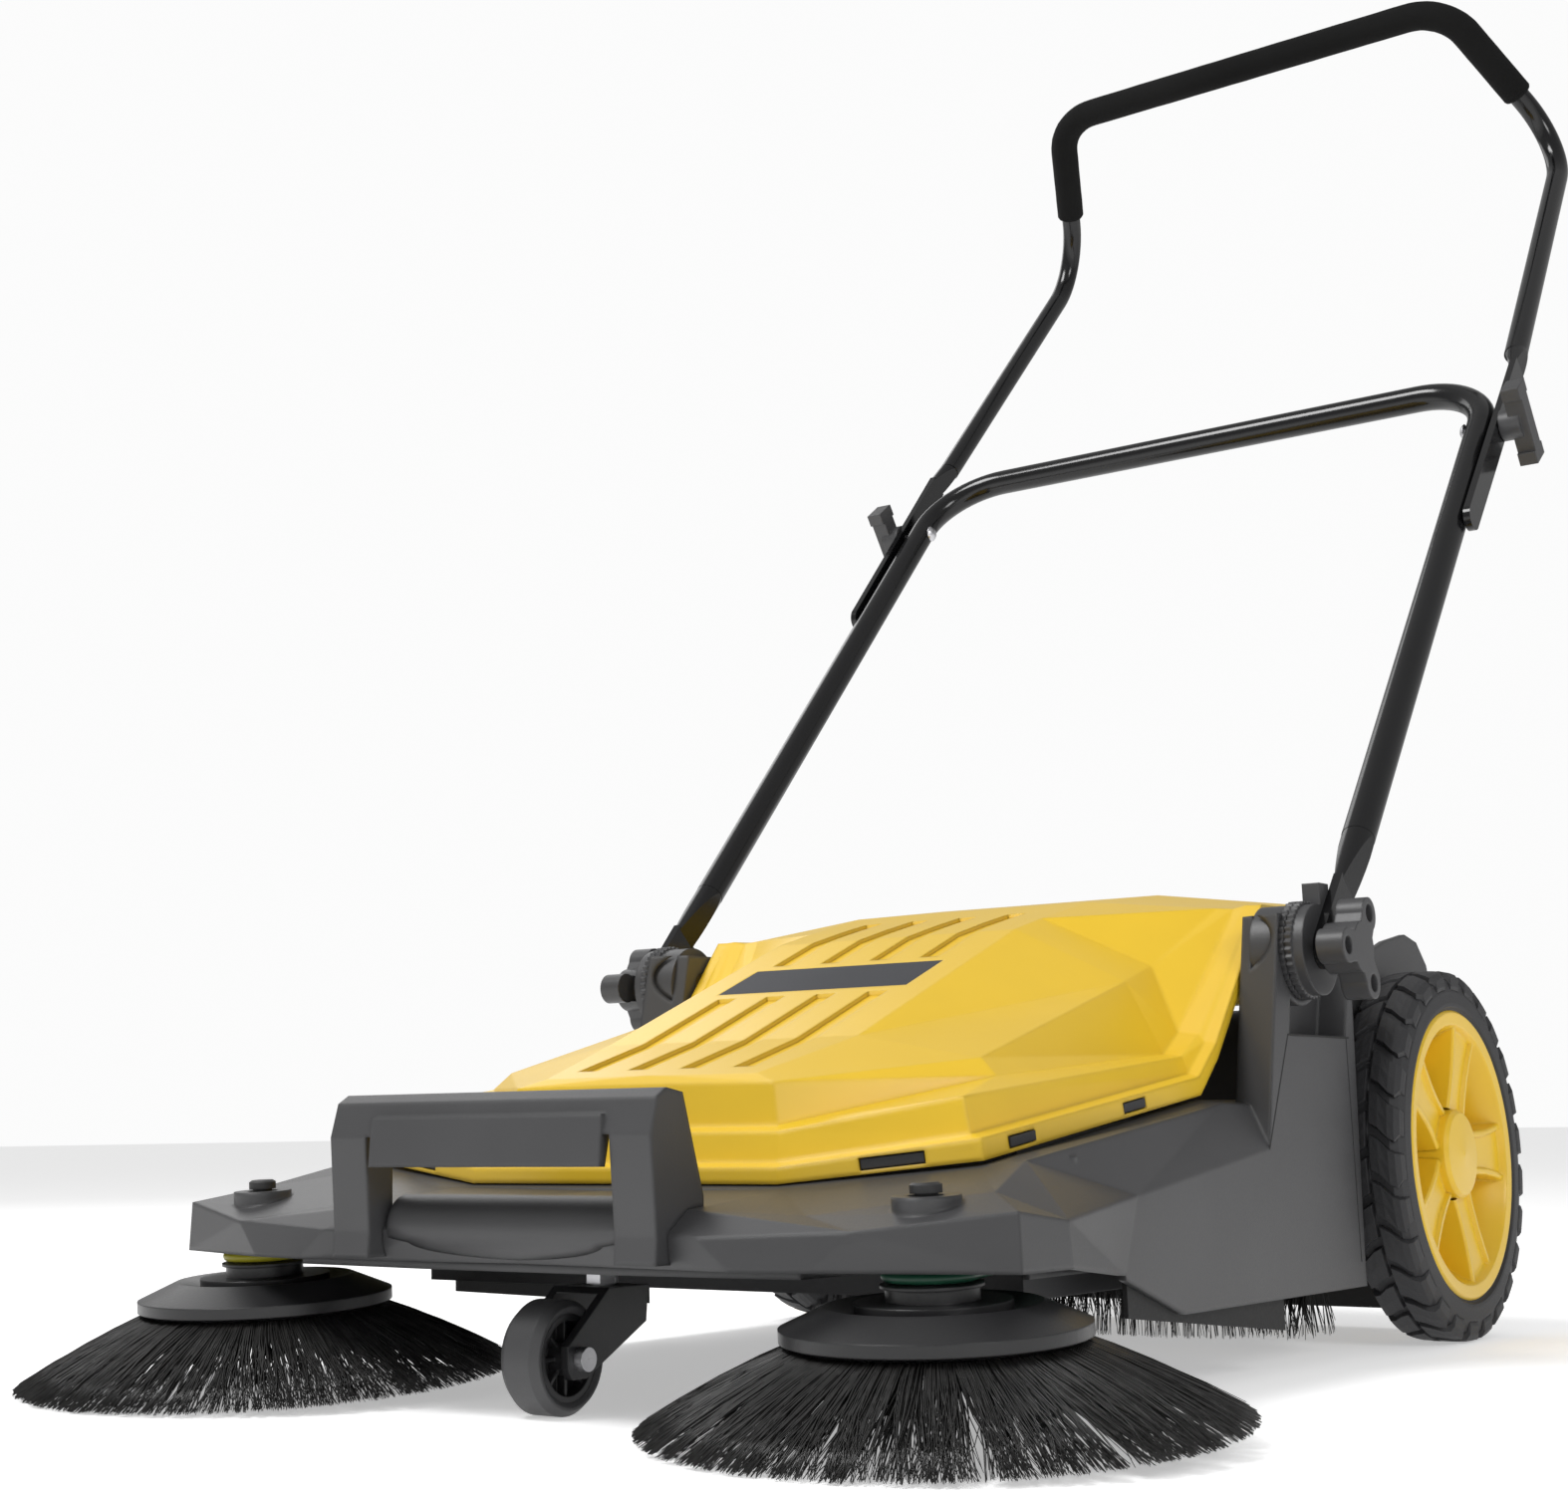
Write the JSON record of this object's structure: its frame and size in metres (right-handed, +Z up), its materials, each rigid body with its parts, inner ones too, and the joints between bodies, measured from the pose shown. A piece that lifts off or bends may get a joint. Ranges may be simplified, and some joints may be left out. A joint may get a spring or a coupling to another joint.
{
  "type": "push sweeper",
  "caption": "Walk-behind push sweeper with twin side brushes, a roller, a lift-out hopper and a folding two-part handle.",
  "frame": {"origin": "on the floor, on the centre plane, under the middle of the hopper", "axes": "+Z up, -Y the front, +X the right-hand side when looking along +Y"},
  "size_m": [0.664, 1.1446, 1.0119],
  "materials": {
    "chassis_grey": "satin",
    "skirt_rubber": "matte",
    "steel": "satin",
    "belt_yellow": "satin",
    "belt_green": "satin",
    "hub_grey": "satin",
    "hood_yellow": "satin gloss",
    "badge_grey": "satin",
    "insert_grey": "satin",
    "pan_grey": "matte",
    "tyre_black": "matte",
    "rim_yellow": "satin",
    "gear_black": "matte",
    "bristle_black": "matte",
    "disc_black": "satin",
    "caster_tyre_grey": "matte",
    "tube_black": "gloss paint",
    "foam_black": "matte"
  },
  "bodies": {
    "chassis": {"chassis": "chassis_grey", "carry_handle": "chassis_grey", "nose_bar": "chassis_grey", "side_flap_right": "skirt_rubber", "side_flap_left": "skirt_rubber", "rear_skirt": "skirt_rubber", "rear_axle": "steel", "idler_pin_right": "steel", "idler_pin_left": "steel", "belt_right": "belt_green", "belt_left": "belt_yellow", "hinge_base_right": "hub_grey", "hinge_base_left": "hub_grey", "hinge_bolt_right": "steel", "hinge_bolt_left": "steel"},
    "hopper": {"hopper_lid": "hood_yellow", "hopper_badge_plate": "badge_grey", "hopper_grip_insert": "insert_grey", "hopper_pan": "pan_grey"},
    "wheel_right": {"wheel_tyre_right": "tyre_black", "wheel_rim_right": "rim_yellow", "wheel_cap_right": "rim_yellow", "drive_gear_right": "gear_black"},
    "wheel_left": {"wheel_tyre_left": "tyre_black", "wheel_rim_left": "rim_yellow", "wheel_cap_left": "rim_yellow", "drive_gear_left": "gear_black"},
    "roller": {"roller_shaft": "steel", "roller_core": "gear_black", "roller_bristles": "bristle_black", "roller_pinion": "gear_black"},
    "side_brush_right": {"brush_disc_right": "disc_black", "brush_flange_right": "disc_black", "brush_pulley_right": "disc_black", "brush_spindle_right": "gear_black", "brush_bristles_right": "bristle_black"},
    "side_brush_left": {"brush_disc_left": "disc_black", "brush_flange_left": "disc_black", "brush_pulley_left": "disc_black", "brush_spindle_left": "gear_black", "brush_bristles_left": "bristle_black"},
    "idler_right": {"belt_idler_right": "gear_black"},
    "idler_left": {"belt_idler_left": "gear_black"},
    "caster": {"caster_stem": "steel", "caster_nut": "steel", "caster_fork": "disc_black", "caster_bolt": "steel"},
    "caster_wheel": {"caster_wheel_core": "disc_black", "caster_tyre": "caster_tyre_grey"},
    "lower_handle": {"handle_lower": "tube_black", "hinge_hub_right": "hub_grey", "hinge_hub_left": "hub_grey", "clamp_bolt_right": "steel", "clamp_bolt_left": "steel"},
    "upper_handle": {"handle_upper": "tube_black", "foam_grip": "foam_black"},
    "hinge_knob_right": {"hinge_knob_right": "hub_grey"},
    "hinge_knob_left": {"hinge_knob_left": "hub_grey"},
    "clamp_knob_right": {"clamp_knob_right": "hub_grey"},
    "clamp_knob_left": {"clamp_knob_left": "hub_grey"}
  },
  "joints": [
    {"name": "wheel_right_spin", "type": "hinge", "parent": "chassis", "child": "wheel_right", "pos_m": [0.216, 0.398, 0.109], "axis": [1, 0, 0], "continuous": true},
    {"name": "wheel_left_spin", "type": "hinge", "parent": "chassis", "child": "wheel_left", "pos_m": [-0.216, 0.398, 0.109], "axis": [1, 0, 0], "continuous": true},
    {"name": "roller_spin", "type": "hinge", "parent": "chassis", "child": "roller", "pos_m": [0, 0.33106, 0.0652], "axis": [1, 0, 0], "continuous": true},
    {"name": "side_brush_right_spin", "type": "hinge", "parent": "chassis", "child": "side_brush_right", "pos_m": [0.201, -0.1665, 0.0452], "axis": [0, -0.0558, 0.9984], "continuous": true},
    {"name": "side_brush_left_spin", "type": "hinge", "parent": "chassis", "child": "side_brush_left", "pos_m": [-0.201, -0.1665, 0.0452], "axis": [0, -0.0558, 0.9984], "continuous": true},
    {"name": "idler_right_spin", "type": "hinge", "parent": "chassis", "child": "idler_right", "pos_m": [0.201, -0.0495, 0.07528], "axis": [0, -0.0558, 0.9984], "continuous": true},
    {"name": "idler_left_spin", "type": "hinge", "parent": "chassis", "child": "idler_left", "pos_m": [-0.201, -0.0495, 0.07528], "axis": [0, -0.0558, 0.9984], "continuous": true},
    {"name": "caster_swivel", "type": "hinge", "parent": "chassis", "child": "caster", "pos_m": [0, -0.137, 0.06], "axis": [0, 0, 1], "continuous": true},
    {"name": "caster_wheel_spin", "type": "hinge", "parent": "caster", "child": "caster_wheel", "pos_m": [0, -0.175, 0.0263], "axis": [1, 0, 0], "continuous": true},
    {"name": "handle_fold", "type": "hinge", "parent": "chassis", "child": "lower_handle", "pos_m": [0, 0.212, 0.2217], "axis": [-1, 0, 0], "range_deg": [-118, 15]},
    {"name": "upper_handle_fold", "type": "hinge", "parent": "lower_handle", "child": "upper_handle", "pos_m": [0, 0.57129, 0.59899], "axis": [1, 0, 0], "range_deg": [-138, 0]},
    {"name": "hopper_lift", "type": "slide", "parent": "chassis", "child": "hopper", "axis": [0, 0, 1], "range_m": [0, 0.22]},
    {"name": "hinge_knob_right_turn", "type": "hinge", "parent": "chassis", "child": "hinge_knob_right", "pos_m": [0.24, 0.212, 0.2217], "axis": [1, 0, 0], "range_deg": [0, 360]},
    {"name": "hinge_knob_left_turn", "type": "hinge", "parent": "chassis", "child": "hinge_knob_left", "pos_m": [-0.24, 0.212, 0.2217], "axis": [-1, 0, 0], "range_deg": [0, 360]},
    {"name": "clamp_knob_right_turn", "type": "hinge", "parent": "lower_handle", "child": "clamp_knob_right", "pos_m": [0.245, 0.57129, 0.59899], "axis": [1, 0, 0], "range_deg": [0, 360]},
    {"name": "clamp_knob_left_turn", "type": "hinge", "parent": "lower_handle", "child": "clamp_knob_left", "pos_m": [-0.245, 0.57129, 0.59899], "axis": [-1, 0, 0], "range_deg": [0, 360]}
  ],
  "couplings": [
    {"joint": "roller_spin", "follows": "wheel_right_spin", "ratio": -3},
    {"joint": "side_brush_right_spin", "follows": "wheel_right_spin", "ratio": -1.5},
    {"joint": "idler_right_spin", "follows": "wheel_right_spin", "ratio": -3.5625},
    {"joint": "side_brush_left_spin", "follows": "wheel_left_spin", "ratio": 1.5},
    {"joint": "idler_left_spin", "follows": "wheel_left_spin", "ratio": 3.5625}
  ]
}
